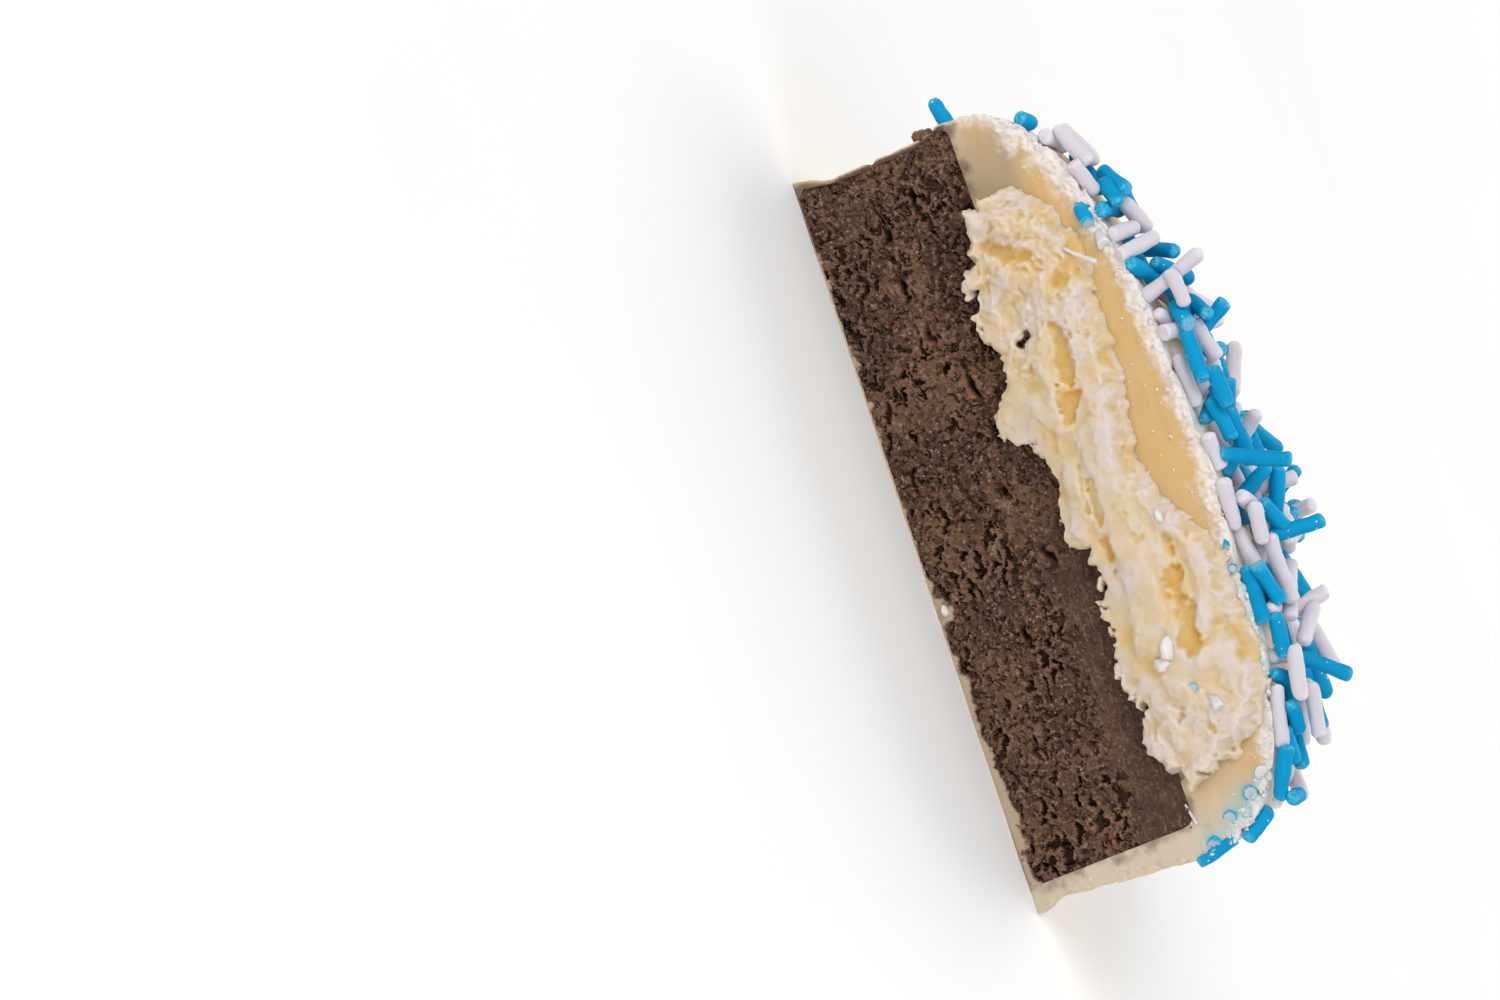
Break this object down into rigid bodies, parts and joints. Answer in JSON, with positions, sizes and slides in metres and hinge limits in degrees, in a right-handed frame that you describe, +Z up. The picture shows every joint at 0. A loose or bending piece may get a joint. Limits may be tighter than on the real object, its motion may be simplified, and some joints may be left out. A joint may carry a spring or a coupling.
{
  "type": "cut half of a white chocolate coated cookie",
  "caption": "Half a round cookie, cut through: thick chocolate biscuit, torn buttercream filling and a white chocolate coat under sugar sprinkles.",
  "frame": {"origin": "middle of the flat base, on the surface that the cookie stands on", "axes": "+Z up from the base, +X along the cut, and the cut face looks along -Y"},
  "size_m": [0.0671, 0.0375, 0.0322],
  "materials": {
    "biscuit": "dry baked crumb",
    "cream": "soft torn buttercream",
    "coat": "satin white chocolate"
  },
  "bodies": {
    "root": {"chocolate_biscuit": "biscuit", "buttercream": "cream", "white_chocolate_coat": "coat"}
  },
  "joints": []
}
